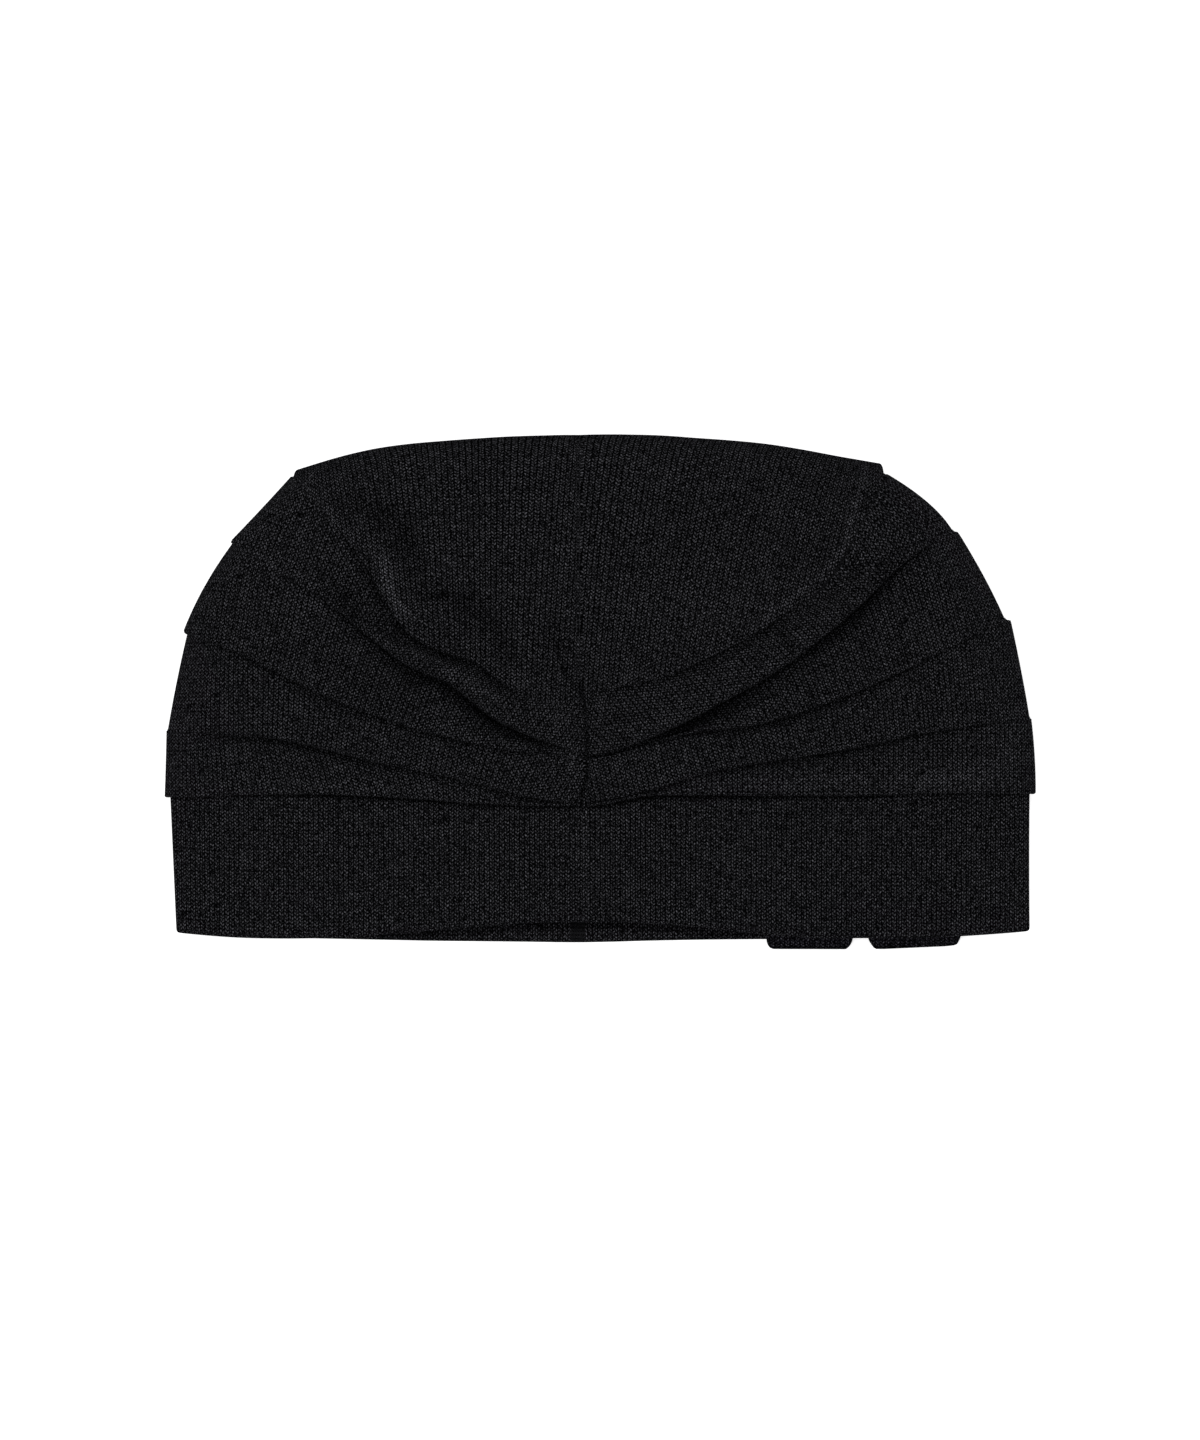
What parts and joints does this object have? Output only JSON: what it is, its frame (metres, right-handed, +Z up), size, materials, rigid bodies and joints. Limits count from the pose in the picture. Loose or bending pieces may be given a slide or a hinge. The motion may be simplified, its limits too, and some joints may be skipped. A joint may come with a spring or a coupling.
{
  "type": "knitted turban beanie",
  "caption": "Soft knitted turban beanie lying on its back: plain headband, pleats that fan out from the front seam to the sides, hollow and open at the hem.",
  "frame": {"origin": "on the floor under the middle of the hat's box, the hat lying on its back", "axes": "+X across the hat, to the right as its front is looked at; +Y from the hem to the crown; +Z up, out of the front of the hat"},
  "size_m": [0.2497, 0.147, 0.0367],
  "materials": {
    "crown_knit": "fine-gauge melange jersey knit, matt black-charcoal",
    "band_knit": "fine-gauge melange jersey knit in two layers, matt black-charcoal",
    "tab_cloth": "plain ribbed black cloth, matt"
  },
  "bodies": {
    "root": {"crown": "crown_knit", "headband": "band_knit", "label_tab_left": "tab_cloth", "label_tab_right": "tab_cloth"}
  },
  "joints": []
}
